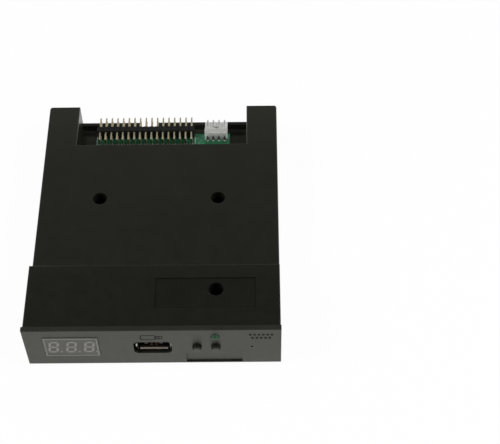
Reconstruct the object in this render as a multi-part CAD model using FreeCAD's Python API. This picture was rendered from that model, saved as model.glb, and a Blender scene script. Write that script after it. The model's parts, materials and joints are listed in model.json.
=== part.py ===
import FreeCAD, Part
import math
import os
from FreeCAD import Vector

# Floppy drive emulator for a 3.5 inch bay, in millimetres.
# X runs to the right and Z up. While it is modelled, Y is 0 at the bezel's front face and
# grows towards the back. The finished pieces are moved so that the origin lies under the middle.

# Outer form
bay_width = 101.6
bezel_height = 25.4
bezel_thickness = 2.1
bezel_edge_radius = 0.4
body_inset = 0.2
body_length = 121.7
front_height = 23.6
rear_height = 17.0
front_length = 32.0
wall = 1.5
roof = 1.5
floor = 2.0
seam_height = 9.5
shell_edge_radius = 0.5
shell_corner_radius = 1.2

# Open bay at the back, between the two rear arms
rear_bay_width = 74.4
rear_bay_depth = 21.8
rear_wall_height = 5.6
key_gap_width = 7.4
key_gap_x = -6.9

# Fits between pieces
fit_gap = 0.15
button_gap = 0.15

# Rim and clips between the two shells
rim_thickness = 0.7
rim_height = 1.0
rim_setback = 1.0
clip_first_y = 18.0
clip_last_gap = 13.7
clip_count = 3
clip_width = 7.0
clip_thickness = 1.3
clip_root = 3.0
clip_pocket_bottom = 3.4
clip_pocket_height = 2.6
clip_catch = 0.7

# Fixing holes for the bay's side rails
mount_first_y = 33.1
mount_pitch = 60.0
mount_height = 5.0
mount_hole_radius = 1.25
mount_depth = 3.6
mount_block_length = 9.0
mount_block_height = 8.6
mount_block_thickness = 4.4

# Screw wells that clamp the board
well_radius = 3.0
well_floor = 1.8
well_tower = 8.8
well_x = 25.05
well_front_y = 20.3
well_rear_y = 70.4
screw_radius = 1.4
screw_length = 8.0
screw_head_radius = 2.6
screw_head_height = 1.9
pilot_radius = 1.45
post_size = 6.4

# Recess for a label on the front step
label_width = 40.2
label_length = 14.0
label_depth = 0.4
label_x = 20.8
label_y = 18.5

# Main board
board_top = 8.8
board_thickness = 1.6
board_width = 59.5
board_x = -0.15
board_front_y = 5.0
board_rear_gap = 9.55
board_ear_width = 14.6
board_ear_length = 15.5
board_ear_gap = 1.6
board_hole_radius = 1.7
leg_gap = 0.1
leg_depth = 0.6

# Display with three digits
display_inset = 18.65
display_z = 13.5
display_width = 21.7
display_height = 13.4
display_depth = 7.0
display_proud = 0.2
digit_height = 8.1
digit_width = 4.1
digit_pitch = 7.05
digit_slant = 8.0
segment_width = 0.95
segment_gap = 0.16
segment_depth = 0.3
point_radius = 0.5
point_offset = 2.75
point_sides = 8
display_rib_length = 2.5
display_rib = 0.9
display_board_thickness = 1.2
display_board_margin = 1.0
display_pin_columns = 6
display_pin = 0.5
display_pin_margin = 1.6
display_pin_end = 0.5
link_pin_count = 5
link_height = 2.5
link_gap = 0.4
link_drop = 4.2
driver_width = 10.0
driver_height = 4.0
driver_depth = 1.5
driver_rise = 1.6
driver_pin_pitch = 1.27
driver_pin_count = 8
driver_leg_width = 0.4
driver_leg_reach = 1.1

# USB socket
usb_x = 0.3
usb_width = 13.2
usb_height = 6.6
usb_depth = 14.0
usb_sheet = 0.35
usb_outer_radius = 0.6
usb_recess = 0.9
usb_standoff = 0.1
usb_lip = 0.4
usb_lip_height = 2.6
usb_lip_reach = 0.5
usb_lip_root = 0.6
usb_leg_from_back = 4.0
usb_leg_length = 1.4
usb_tab_width = 2.0
usb_tab_end = 7.9
usb_tab_tip = 1.6
usb_tab_low = 3.0
usb_tab_bend = 1.0
usb_tab_spacing = 5.7
usb_tab_dip = 0.45
usb_tab_slit = 0.3
usb_opening_x = -0.1
usb_opening_z = 12.3
usb_opening_width = 15.1
usb_opening_height = 8.4
usb_opening_radius = 2.0
tongue_width = 11.1
tongue_thickness = 1.84
tongue_front_y = 0.75
tongue_lift = 0.55
tongue_nose = 0.3
usb_block_depth = 3.6
usb_block_gap = 0.05
usb_contact_places = (-3.5, -1.0, 1.0, 3.5)
usb_contact_width = 1.0
usb_contact_thickness = 0.25
usb_contact_rise = 0.15
usb_contact_setback = 1.0

# Push switches, with the round plungers that come out through the bezel
switch_places = (17.45, 24.9)
switch_axis_height = 4.1
switch_size = 6.0
switch_front_y = 8.4
switch_depth = 3.6
switch_plate = 0.3
switch_foot_inset = 1.0
switch_leg_length = 2.5
switch_leg_half_height = 1.5
button_radius = 1.8
button_proud = 1.7
button_dome = 1.6
button_dome_steps = 1
button_flange_radius = 2.4
button_flange = 0.6
button_rest_gap = 0.1
button_travel = 0.3
button_end_room = 0.15
disc_rise = 0.4
disc_radius = 2.3

# Status light
led_x = 24.8
led_z = 20.2
led_radius = 1.6
led_proud = 1.25
led_dome_steps = 2
led_length = 5.5
led_flange_radius = 1.7
led_flange_length = 1.0
led_lead_spacing = 2.54
led_lead = 0.5
led_lead_gap = 1.2

# Thumb scoop and reset pinhole of the bezel
scoop_left = 12.9
scoop_right = 35.3
scoop_top = 7.7
scoop_bottom = 1.0
scoop_depth = 0.6
pinhole_x = 39.2
pinhole_z = 12.6
pinhole_radius = 0.5

# Bezel tongues
tongue_length = 5.0
tongue_wall = 1.4
side_tongue_height = 9.0
side_tongue_bottom = 10.8
flat_tongue_width = 9.0
flat_tongue_places = (-9.0, 42.0)
hook_height = 0.6
hook_length = 2.0
hook_chamfer = 0.3

# Pin headers
pin_pitch = 2.54
pin_width = 0.64
pin_tail = 2.4
header_x = -7.7
header_columns = 17
header_overhang = 0.55
header_pin_reach = 5.9
header_tail_gap = 1.25
header_notch_width = 0.7
header_notch_depth = 0.35

# Power header, 2.5 mm pitch
power_x = 23.6
power_pitch = 2.5
power_pin_count = 4
power_width = 10.0
power_wall_setback = 3.55
power_wall_thickness = 2.4
power_wall_height = 5.45
power_shelf_length = 6.6
power_shelf_height = 1.7
power_pin_height = 3.2
power_pin_reach = 6.5
power_rib = 0.8
power_rib_height = 3.2
power_rib_setback = 0.8
power_recess_width = 1.7
power_recess_depth = 1.2
power_recess_height = 4.0
power_tail_gap = 0.9
power_window_width = 1.9
power_window_start = 1.2
power_window_length = 3.2

# Option jumpers
option_x = -21.0
option_setback = 21.15
option_columns = 5
option_pin_rise = 5.8
jumper_height = 5.6
jumper_column = 4
jumper_gap = 0.1

# Parts on the main board
processor_x = -4.0
processor_y = 62.0
processor_size = 7.0
processor_height = 1.4
processor_lift = 0.15
processor_leg_pitch = 0.8
processor_leg_count = 8
processor_leg_width = 0.37
processor_leg_reach = 1.0
processor_leg_thickness = 0.15
crystal_x = 8.5
crystal_y = 62.0
crystal_length = 5.0
crystal_width = 3.2
crystal_height = 1.1
regulator_x = 14.0
regulator_setback = 24.15
regulator_width = 6.5
regulator_length = 3.5
regulator_height = 1.6
regulator_lift = 0.1
regulator_leg_pitch = 2.3
regulator_leg_width = 0.7
regulator_tab_width = 3.0
regulator_leg_reach = 1.6
regulator_leg_thickness = 0.25
capacitor_radius = 2.5
capacitor_height = 5.4
capacitor_foot = 5.3
capacitor_foot_height = 0.8
capacitor_side_gap = 5.6
capacitor_setback = 18.15
chip_length = 2.0
chip_width = 1.25
chip_height = 0.5
chip_pitch = 3.4
chip_row_starts = (-12.0, -16.0, 6.0)
chip_rear_setback = 11.95
chip_front_ys = (44.0, 47.0)
chip_row_counts = (8, 5, 3)

# Sizes that follow from those above
half_body = bay_width / 2 - body_inset
inner_half = half_body - wall
half_bay = rear_bay_width / 2
bay_front_y = body_length - rear_bay_depth
inner_rear_y = body_length - wall
board_rear_y = body_length - board_rear_gap
display_x = display_inset - bay_width / 2
display_front_y = -display_proud
display_back_y = display_front_y + display_depth
display_board_back_y = display_back_y + display_board_thickness
display_slant = math.tan(math.radians(digit_slant))
board_bottom = board_top - board_thickness
board_left = board_x - board_width / 2
board_right = board_x + board_width / 2
ear_front_y = display_board_back_y + board_ear_gap
tail_z = board_bottom - pin_tail
option_y = board_rear_y - option_setback
regulator_y = board_rear_y - regulator_setback
capacitor_places = ((board_right - capacitor_side_gap, board_rear_y - capacitor_setback),)
chip_row_ys = (board_rear_y - chip_rear_setback,) + chip_front_ys
header_rear_y = board_rear_y + header_overhang
header_front_y = header_rear_y - pin_pitch
usb_front_y = usb_recess
usb_back_y = usb_front_y + usb_depth
usb_bottom = board_top + usb_standoff
usb_z = usb_bottom + usb_height / 2
usb_leg_y = usb_back_y - usb_leg_from_back
tongue_bottom = usb_bottom + usb_sheet + tongue_lift
tongue_top = tongue_bottom + tongue_thickness
switch_z = board_top + switch_axis_height
switch_base_y = switch_front_y + switch_plate
switch_back_y = switch_base_y + switch_depth
button_flange_y = switch_base_y + button_rest_gap
button_end_y = button_flange_y + button_flange
switch_well_y = button_end_y + button_travel + button_end_room + disc_rise
led_tip_y = -led_proud
led_back_y = led_tip_y + led_length
led_drop_y = switch_back_y + led_lead_gap
link_z = board_top + link_height
link_drop_y = ear_front_y + link_drop
power_wall_y = board_rear_y - power_wall_setback
power_wall_back_y = power_wall_y + power_wall_thickness
power_recess_y = power_wall_y + power_recess_depth
power_drop_y = power_recess_y - power_tail_gap
power_pin_z = board_top + power_pin_height
screw_places = ((-well_x, well_rear_y), (well_x, well_rear_y), (well_x, well_front_y))
post_places = screw_places + ((-well_x, well_front_y),)
mount_ys = (mount_first_y, mount_first_y + mount_pitch)
clip_pitch = (body_length - clip_last_gap - clip_first_y) / (clip_count - 1)
clip_ys = [clip_first_y + i * clip_pitch for i in range(clip_count)]
middle_y = (body_length - button_proud) / 2
over = 1.0
right = Vector(1, 0, 0)
back = Vector(0, 1, 0)
up = Vector(0, 0, 1)


def block(x0, x1, y0, y1, z0, z1):
    """A box between two corners."""
    return Part.makeBox(x1 - x0, y1 - y0, z1 - z0, Vector(x0, y0, z0))


def centred(x, y, width, length, z0, z1):
    """A box round an upright line, from one height to another."""
    return block(x - width / 2, x + width / 2, y - length / 2, y + length / 2, z0, z1)


def bar(x, z, width, height, y0, y1):
    """A box round a line along Y, from one place to another."""
    return block(x - width / 2, x + width / 2, y0, y1, z - height / 2, z + height / 2)


def rod(radius, x, z, y0, y1):
    """A cylinder along Y."""
    return Part.makeCylinder(radius, y1 - y0, Vector(x, y0, z), Vector(0, 1, 0))


def post(radius, x, y, z0, z1):
    """A cylinder along Z."""
    return Part.makeCylinder(radius, z1 - z0, Vector(x, y, z0))


def prism(points, along):
    """A prism from the corners of a flat outline and the way it is drawn out."""
    return Part.Face(Part.makePolygon(points + points[:1])).extrude(along)


def profile_x(outline, x, width):
    """A prism along X, centred on x, from (y, z) corners."""
    return prism([Vector(x - width / 2, y, z) for y, z in outline], Vector(width, 0, 0))


def profile_y(outline, y0, y1):
    """A prism along Y from (x, z) corners."""
    return prism([Vector(x, y0, z) for x, z in outline], Vector(0, y1 - y0, 0))


def turned(outline, x, z):
    """A solid turned round a line along Y from (radius, y) corners."""
    corners = [Vector(x + radius, y, z) for radius, y in outline]
    face = Part.Face(Part.makePolygon(corners + corners[:1]))
    return face.revolve(Vector(x, 0, z), Vector(0, 1, 0), 360)


def dome(radius, rounding, tip_y, steps):
    """The (radius, y) corners of a rounded tip, from its middle outwards."""
    turns = [math.pi / 2 * i / steps for i in range(steps + 1)]
    flat = radius - rounding
    rings = [(flat + rounding * math.sin(t), tip_y + rounding * (1 - math.cos(t))) for t in turns]
    return rings if near(flat, 0) else [(0, tip_y)] + rings


def fuse(shapes):
    """One solid from shapes that touch or overlap."""
    first, *others = shapes
    return first.multiFuse(others).removeSplitter()


def cut(body, *tools):
    """The body less the tools, which come singly or in lists."""
    single = [t for tool in tools for t in (tool if isinstance(tool, list) else [tool])]
    return body.cut(single)


def both_sides(shapes):
    """The shapes and their mirror images across the plane X = 0."""
    return shapes + [s.mirror(Vector(0, 0, 0), Vector(1, 0, 0)) for s in shapes]


def near(a, b):
    """Whether two sizes are the same."""
    return abs(a - b) < 1e-6


def edges_along(way, shape, test):
    """Straight edges along one way whose ends all pass the test."""
    straight = [e for e in shape.Edges if near(abs(e.tangentAt(e.FirstParameter).dot(way)), 1)]
    return [e for e in straight if all(test(v.Point) for v in e.Vertexes)]


def rounded_bar(x, z, width, height, y0, y1, radius):
    """A bar along Y with its four long edges rounded."""
    body = bar(x, z, width, height, y0, y1)
    return body.makeFillet(radius, edges_along(back, body, lambda p: True))


# Lower shell

def mount_hole(y):
    """A right-hand pilot hole for a fixing screw."""
    return Part.makeCylinder(mount_hole_radius, mount_depth + over,
                             Vector(half_body - mount_depth, y, mount_height), Vector(1, 0, 0))


def clip_pocket(y):
    """The pocket inside the right-hand wall that a clip of the upper shell catches in."""
    half = clip_width / 2 + fit_gap
    return block(inner_half - over, inner_half + clip_catch + fit_gap, y - half, y + half,
                 clip_pocket_bottom, clip_pocket_bottom + clip_pocket_height)


def lower_shell():
    """The tray that the board lies in."""
    body = block(-half_body, half_body, bezel_thickness, body_length, 0, seam_height)
    corners = edges_along(up, body, lambda p: near(p.y, body_length))
    body = body.makeFillet(shell_corner_radius, corners)
    body = cut(body, block(-inner_half, inner_half, bezel_thickness - over, inner_rear_y,
                           floor, seam_height + over))
    rim = block(inner_half, inner_half + rim_thickness, bezel_thickness + tongue_length + rim_setback,
                inner_rear_y, seam_height - over, seam_height + rim_height)
    half = mount_block_length / 2
    blocks = [block(inner_half - mount_block_thickness + wall, inner_half + wall / 2, y - half, y + half,
                    floor / 2, mount_block_height) for y in mount_ys]
    posts = [centred(x, y, post_size, post_size, floor / 2, board_bottom) for x, y in post_places]
    body = fuse([body] + both_sides([rim] + blocks) + posts)
    lowered = block(-half_bay, half_bay, inner_rear_y - over, body_length + over,
                    rear_wall_height, seam_height + over)
    key_gap = block(key_gap_x - key_gap_width / 2, key_gap_x + key_gap_width / 2,
                    inner_rear_y - over, body_length + over, floor, seam_height)
    pilots = [post(pilot_radius, x, y, floor, board_bottom + over) for x, y in screw_places]
    side_cuts = [clip_pocket(y) for y in clip_ys] + [mount_hole(y) for y in mount_ys]
    return cut(body, lowered, key_gap, pilots, both_sides(side_cuts))


# Upper shell

def shell_clip(y):
    """A right-hand spring tongue whose hook catches in a pocket of the lower shell."""
    outer_x = inner_half - fit_gap
    inner_x = outer_x - clip_thickness
    catch_x = inner_half + clip_catch
    y0 = y - clip_width / 2
    y1 = y + clip_width / 2
    root_z = seam_height + rim_height + fit_gap
    hook_low = clip_pocket_bottom + fit_gap
    hook_top = clip_pocket_bottom + clip_pocket_height - fit_gap
    tongue = block(inner_x, outer_x, y0, y1, hook_low, root_z + clip_root)
    root = block(inner_x, inner_half + wall / 2, y0, y1, root_z, root_z + clip_root)
    hook = profile_y([(inner_x, hook_low), (outer_x, hook_low), (catch_x, hook_top - clip_catch),
                      (catch_x, hook_top), (inner_x, hook_top)], y0, y1)
    return fuse([tongue, root, hook])


def shell_block():
    """The upper shell's outside, with its edges rounded and the rear bay cut out."""
    front = block(-half_body, half_body, bezel_thickness, front_length, seam_height, front_height)
    rear = block(-half_body, half_body, front_length - wall, body_length, seam_height, rear_height)
    body = fuse([front, rear])
    outer_corners = edges_along(up, body, lambda p: near(p.y, body_length))
    body = body.makeFillet(shell_corner_radius, outer_corners)
    body = cut(body, block(-half_bay, half_bay, bay_front_y, body_length + over, seam_height - over,
                           rear_height + over))
    rims = [e for e in body.Edges if all(near(v.Point.z, rear_height) for v in e.Vertexes)
            and min(v.Point.y for v in e.Vertexes) > front_length + wall or at_step(e)]
    return body.makeFillet(shell_edge_radius, rims)


def at_step(edge):
    """Whether an edge is one of the front step's side or rear rims."""
    high = all(near(v.Point.z, front_height) for v in edge.Vertexes)
    return high and not near(edge.CenterOfMass.y, bezel_thickness)


def upper_shell():
    """The cover, with its raised front step, rear arms and screw wells."""
    body = shell_block()
    under = seam_height - over
    front_room = block(-inner_half, inner_half, bezel_thickness - over, front_length - wall,
                       under, front_height - roof)
    main_room = block(-inner_half, inner_half, front_length - wall - over, bay_front_y + over,
                      under, rear_height - roof)
    arm_room = block(half_bay + wall, inner_half, bay_front_y - over, inner_rear_y, under, rear_height - roof)
    body = cut(body, front_room, main_room, both_sides([arm_room]))
    arm_wall = block(half_bay, half_bay + wall, bay_front_y, inner_rear_y - fit_gap,
                     floor + fit_gap, rear_height - roof / 2)
    towers = [centred(x, y, well_tower, well_tower, board_top, roof_over(y) - roof / 2)
              for x, y in screw_places]
    body = fuse([body] + both_sides([arm_wall] + [shell_clip(y) for y in clip_ys]) + towers)
    rebate = block(inner_half, inner_half + rim_thickness + fit_gap, bezel_thickness - over,
                   inner_rear_y + fit_gap, under, seam_height + rim_height + fit_gap)
    wells = [post(well_radius, x, y, board_top + well_floor, roof_over(y) + over) for x, y in screw_places]
    bores = [post(screw_radius + fit_gap, x, y, board_top - over, board_top + well_floor + over)
             for x, y in screw_places]
    label = centred(label_x, label_y, label_width, label_length,
                    front_height - label_depth, front_height + over)
    return cut(body, both_sides([rebate, hook_slot()]), wells, bores, label)


def roof_over(y):
    """Height of the upper shell's outside at a place along the body."""
    return front_height if y < front_length else rear_height


# Front bezel

def hook_slot():
    """The slot inside the right-hand wall of the upper shell that a bezel hook catches in."""
    y1 = bezel_thickness + tongue_length
    low = side_tongue_bottom - fit_gap
    high = side_tongue_bottom + side_tongue_height + fit_gap
    return block(inner_half - over, inner_half + hook_height + fit_gap,
                 y1 - hook_length - fit_gap, y1 + fit_gap, low, high)


def side_tongue():
    """The right-hand tongue of the bezel with its hook."""
    outer_x = inner_half - fit_gap
    catch_x = inner_half + hook_height - fit_gap
    y0 = bezel_thickness / 2
    y1 = bezel_thickness + tongue_length
    corners = ((outer_x - tongue_wall, y0), (outer_x, y0), (outer_x, y1 - hook_length),
               (catch_x, y1 - hook_length), (catch_x, y1 - hook_chamfer),
               (catch_x - hook_chamfer, y1), (outer_x - tongue_wall, y1))
    return prism([Vector(x, y, side_tongue_bottom) for x, y in corners], Vector(0, 0, side_tongue_height))


def flat_tongue(x, z):
    """A tongue of the bezel that lies along the floor or under the roof."""
    return bar(x, z, flat_tongue_width, tongue_wall, bezel_thickness / 2, bezel_thickness + tongue_length)


def scoop():
    """The shallow flat pocket for a thumb."""
    return block(scoop_left, scoop_right, -over, scoop_depth, scoop_bottom, scoop_top)


def front_bezel():
    """The front panel."""
    body = block(-bay_width / 2, bay_width / 2, 0, bezel_thickness, 0, bezel_height)
    face_edges = [e for e in body.Edges if all(near(v.Point.y, 0) for v in e.Vertexes)]
    body = body.makeFillet(bezel_edge_radius, face_edges)
    window_width = display_width + 2 * fit_gap
    window_height = display_height + 2 * fit_gap
    display_frame = bar(display_x, display_z, window_width + 2 * display_rib, window_height + 2 * display_rib,
                        bezel_thickness / 2, bezel_thickness + display_rib_length)
    low_z = floor + fit_gap + tongue_wall / 2
    high_z = front_height - roof - fit_gap - tongue_wall / 2
    tongues = both_sides([side_tongue(), flat_tongue(max(flat_tongue_places), low_z)])
    tongues += [flat_tongue(x, high_z) for x in flat_tongue_places]
    body = fuse([body, display_frame] + tongues)
    back = bezel_thickness + display_rib_length + over
    window = bar(display_x, display_z, window_width, window_height, -over, back)
    usb_opening = rounded_bar(usb_opening_x, usb_opening_z, usb_opening_width, usb_opening_height,
                              -over, back, usb_opening_radius)
    button_holes = [rod(button_radius + button_gap, x, switch_z, -over, back) for x in switch_places]
    led_hole = rod(led_radius + fit_gap, led_x, led_z, -over, back)
    pinhole = rod(pinhole_radius, pinhole_x, pinhole_z, -over, back)
    return cut(body, window, usb_opening, button_holes, led_hole, pinhole, scoop())


# Display

def leaning(x, z):
    """A point of an upright digit, moved by the digits' slant."""
    return x + (z - display_z) * display_slant, z


def segment_outline(x0, z0, x1, z1):
    """A six-sided segment along the line between two corners of a digit."""
    length = math.hypot(x1 - x0, z1 - z0)
    ux = (x1 - x0) / length
    uz = (z1 - z0) / length
    half = segment_width / 2
    start = segment_gap
    end = length - segment_gap
    steps = ((start, 0), (start + half, half), (end - half, half),
             (end, 0), (end - half, -half), (start + half, -half))
    return [leaning(x0 + ux * along - uz * side, z0 + uz * along + ux * side) for along, side in steps]


def digit_outlines(x):
    """The seven segments of one digit."""
    left = x - (digit_width - segment_width) / 2
    right = x + (digit_width - segment_width) / 2
    low = display_z - (digit_height - segment_width) / 2
    high = display_z + (digit_height - segment_width) / 2
    ends = ((left, high, right, high), (left, display_z, right, display_z), (left, low, right, low),
            (left, low, left, display_z), (left, display_z, left, high),
            (right, low, right, display_z), (right, display_z, right, high))
    return [segment_outline(*e) for e in ends]


def point_outline(x):
    """The decimal point beside one digit."""
    z = display_z - digit_height / 2 + point_radius
    turns = [2 * math.pi * i / point_sides for i in range(point_sides)]
    return [(x + point_offset + point_radius * math.cos(t), z + point_radius * math.sin(t)) for t in turns]


def display_segments():
    """The cast light pipes of the three digits and their points."""
    solids = []
    for i in (-1, 0, 1):
        x = display_x + i * digit_pitch
        for outline in digit_outlines(x) + [point_outline(x)]:
            solids.append(profile_y(outline, display_front_y, display_front_y + segment_depth))
    return Part.makeCompound(solids)


def display_body():
    """The display's moulded block, with a pocket for each segment."""
    body = bar(display_x, display_z, display_width, display_height, display_front_y, display_back_y)
    return cut(body, display_segments().Solids)


def display_pins():
    """The display's pins through its board."""
    row = display_height / 2 - display_pin_margin
    columns = [(i - (display_pin_columns - 1) / 2) * pin_pitch for i in range(display_pin_columns)]
    return Part.makeCompound([bar(display_x + x, display_z + z, display_pin, display_pin,
                                  display_back_y, display_board_back_y + display_pin_end)
                              for x in columns for z in (-row, row)])


def display_board():
    """The small board that stands behind the display."""
    body = bar(display_x, display_z, display_width + 2 * display_board_margin,
               display_height + 2 * display_board_margin, display_back_y, display_board_back_y)
    return cut(body, display_pins().Solids)


def display_driver():
    """The driver chip on the back of the display's board."""
    return bar(display_x, display_z + driver_rise, driver_width, driver_height,
               display_board_back_y, display_board_back_y + driver_depth)


def display_driver_legs():
    """Two rows of legs of the driver chip, bent down to its board."""
    z = driver_height / 2
    y = display_board_back_y
    outline = [(y, z + driver_leg_reach), (y, z + driver_leg_reach / 2), (y + driver_depth / 2, z),
               (y + driver_depth / 2, z + driver_leg_reach / 2)]
    legs = []
    for side in (-1, 1):
        placed = [(leg_y, display_z + driver_rise + side * leg_z) for leg_y, leg_z in outline]
        for i in range(driver_pin_count):
            x = display_x + (i - (driver_pin_count - 1) / 2) * driver_pin_pitch
            legs.append(profile_x(placed, x, driver_leg_width))
    return Part.makeCompound(legs)


def bent_pin(x, z, y0, y1, low_z, width=pin_width):
    """A right-angle pin: a bar along Y with one end bent down."""
    half = width / 2
    inner_y = y0 + math.copysign(width, y1 - y0)
    return profile_x([(y1, z - half), (y1, z + half), (y0, z + half), (y0, low_z), (inner_y, low_z),
                      (inner_y, z - half)], x, width)


def link_xs():
    """X of each pin of the link between the two boards."""
    return [display_x + (i - (link_pin_count - 1) / 2) * pin_pitch for i in range(link_pin_count)]


def display_link_pins():
    """Right-angle pins that carry the display's signals and hold its board up."""
    return Part.makeCompound([bent_pin(x, link_z, link_drop_y + pin_width / 2, display_board_back_y,
                                       board_bottom - leg_depth) for x in link_xs()])


def display_link_block():
    """The link's moulded block on the main board."""
    y0 = ear_front_y + link_gap
    top = link_z + pin_pitch / 2
    body = block(display_x - link_pin_count * pin_pitch / 2, display_x + link_pin_count * pin_pitch / 2,
                 y0, y0 + pin_pitch, board_top, top)
    bores = [bar(x, link_z, pin_width, pin_width, y0 - over, y0 + pin_pitch + over) for x in link_xs()]
    return cut(body, bores)


# USB socket

def usb_tab(x, side):
    """A spring tab in the roof or floor of the socket's shell, as its slit and its strip."""
    face = usb_z + side * usb_height / 2
    low = face - side * usb_tab_dip
    tip = face - side * usb_tab_dip / 2
    thick = side * usb_sheet
    end_y = usb_front_y + usb_tab_end
    bend_y = end_y - usb_tab_bend
    low_y = usb_front_y + usb_tab_low
    tip_y = usb_front_y + usb_tab_tip
    slit = block(x - usb_tab_width / 2 - usb_tab_slit, x + usb_tab_width / 2 + usb_tab_slit,
                 tip_y - usb_tab_slit, end_y, face - 2 * usb_sheet, face + 2 * usb_sheet)
    outline = [(end_y + usb_tab_slit, face), (bend_y, face), (low_y, low), (tip_y, tip), (tip_y, tip - thick),
               (low_y, low - thick), (bend_y, face - thick), (end_y + usb_tab_slit, face - thick)]
    return slit, profile_x(outline, x, usb_tab_width)


def usb_lip_at(side):
    """The flared lip at one side of the socket's mouth."""
    inner_x = usb_x + side * (usb_width / 2 - usb_sheet)
    wall_x = usb_x + side * usb_width / 2
    tip_y = usb_front_y - usb_lip_reach
    root_y = usb_front_y + usb_lip_root
    corners = ((inner_x, root_y), (inner_x, usb_front_y), (inner_x + side * usb_lip, tip_y),
               (wall_x + side * usb_lip, tip_y), (wall_x, usb_front_y), (wall_x, root_y))
    return prism([Vector(x, y, usb_z) for x, y in corners], Vector(0, 0, usb_lip_height))


def usb_shell():
    """The folded steel shell, with its lips, legs and spring tabs."""
    outer = rounded_bar(usb_x, usb_z, usb_width, usb_height, usb_front_y, usb_back_y, usb_outer_radius)
    hollow = bar(usb_x, usb_z, usb_width - 2 * usb_sheet, usb_height - 2 * usb_sheet,
                 usb_front_y - over, usb_back_y - usb_sheet)
    tabs = [usb_tab(usb_x + across * usb_tab_spacing / 2, side) for across in (-1, 1) for side in (-1, 1)]
    legs = [centred(usb_x + side * (usb_width - usb_sheet) / 2, usb_leg_y, usb_sheet, usb_leg_length,
                    board_bottom - leg_depth, usb_z) for side in (-1, 1)]
    shell = cut(outer, hollow, [slit for slit, strip in tabs])
    return fuse([shell] + [strip for slit, strip in tabs] + [usb_lip_at(-1), usb_lip_at(1)] + legs)


def usb_contacts():
    """The four contacts on top of the tongue."""
    y0 = tongue_front_y + usb_contact_setback
    y1 = usb_back_y - 2 * usb_sheet
    z1 = tongue_top + usb_contact_rise
    return Part.makeCompound([block(usb_x + x - usb_contact_width / 2, usb_x + x + usb_contact_width / 2,
                                    y0, y1, z1 - usb_contact_thickness, z1) for x in usb_contact_places])


def usb_tongue():
    """The moulded tongue and the block behind it."""
    y_back = usb_back_y - usb_sheet
    y_block = y_back - usb_block_depth
    tongue = block(usb_x - tongue_width / 2, usb_x + tongue_width / 2, tongue_front_y, y_block + over,
                   tongue_bottom, tongue_top)
    nose = edges_along(right, tongue, lambda p: near(p.y, tongue_front_y))
    gap = usb_sheet + usb_block_gap
    back = bar(usb_x, usb_z, usb_width - 2 * gap, usb_height - 2 * gap, y_block, y_back)
    return cut(fuse([tongue.makeChamfer(tongue_nose, nose), back]), usb_contacts().Solids)


# Push switches

def switch_base(x):
    """The moulded base of one push switch, with the well that its plunger moves in."""
    half = switch_size / 2
    body = bar(x, switch_z, switch_size, switch_size, switch_base_y, switch_back_y)
    foot = block(x - half, x + half, switch_base_y + switch_foot_inset, switch_back_y, board_top, switch_z)
    return cut(fuse([body, foot]), rod(button_flange_radius + button_gap, x, switch_z,
                                       switch_base_y - over, switch_well_y))


def switch_cover(x):
    """The steel front plate of one push switch, with two legs in the board."""
    width = switch_size + 2 * switch_plate
    plate = bar(x, switch_z, switch_size, switch_size, switch_front_y, switch_base_y)
    wings = bar(x, switch_z, width, 2 * switch_leg_half_height, switch_front_y, switch_base_y)
    legs = [block(x + side * (width - switch_plate) / 2 - switch_plate / 2,
                  x + side * (width - switch_plate) / 2 + switch_plate / 2,
                  switch_front_y, switch_front_y + switch_leg_length,
                  board_bottom - leg_depth, switch_z + switch_leg_half_height) for side in (-1, 1)]
    hole = rod(button_radius + button_gap, x, switch_z, switch_front_y - over, switch_base_y + over)
    return cut(fuse([plate, wings] + legs), hole)


def switch_disc(x):
    """The sprung disc that gives the switch its click."""
    return rod(disc_radius, x, switch_z, switch_well_y - disc_rise, switch_well_y)


def button(x):
    """One plunger: a domed round post with a flange that keeps it in the switch."""
    outline = dome(button_radius, button_dome, -button_proud, button_dome_steps)
    outline += [(button_radius, button_flange_y), (button_flange_radius, button_flange_y),
                (button_flange_radius, button_end_y), (0, button_end_y)]
    return turned(outline, x, switch_z)


# Status light

def led_lens():
    """The light's lens, with its round nose through the bezel and a flange behind it."""
    flange_y = led_back_y - led_flange_length
    outline = dome(led_radius, led_radius, led_tip_y, led_dome_steps)
    outline += [(led_radius, flange_y), (led_flange_radius, flange_y), (led_flange_radius, led_back_y),
                (0, led_back_y)]
    return turned(outline, led_x, led_z)


def led_xs():
    """X of the light's two leads."""
    return [led_x + side * led_lead_spacing / 2 for side in (-1, 1)]


def led_leads():
    """The light's two leads, which run back over the switch and down into the main board."""
    return Part.makeCompound([bent_pin(x, led_z, led_drop_y + led_lead / 2, led_back_y,
                                       board_bottom - leg_depth, led_lead) for x in led_xs()])


# Floppy cable header

def header_xs():
    """X of each column of the 34-pin header."""
    return [header_x + (i - (header_columns - 1) / 2) * pin_pitch for i in range(header_columns)]


def header_rows():
    """Height of each row, and where its tails go down, from the lower row up."""
    lower = (board_top + pin_pitch / 2, header_front_y - header_tail_gap)
    upper = (board_top + 3 * pin_pitch / 2, header_front_y - header_tail_gap - pin_pitch)
    return lower, upper


def floppy_header_pins():
    """The right-angle pins in two rows."""
    tip_y = header_rear_y + header_pin_reach
    return Part.makeCompound([bent_pin(x, z, drop_y - pin_width / 2, tip_y, tail_z)
                              for z, drop_y in header_rows() for x in header_xs()])


def header_notch(x):
    """The V notch across the block's top between two columns."""
    top = board_top + 2 * pin_pitch
    half = header_notch_width / 2
    slope = half / header_notch_depth
    return profile_y([(x, top - header_notch_depth), (x + half + slope * over, top + over),
                      (x - half - slope * over, top + over)], header_front_y - over, header_rear_y + over)


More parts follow.
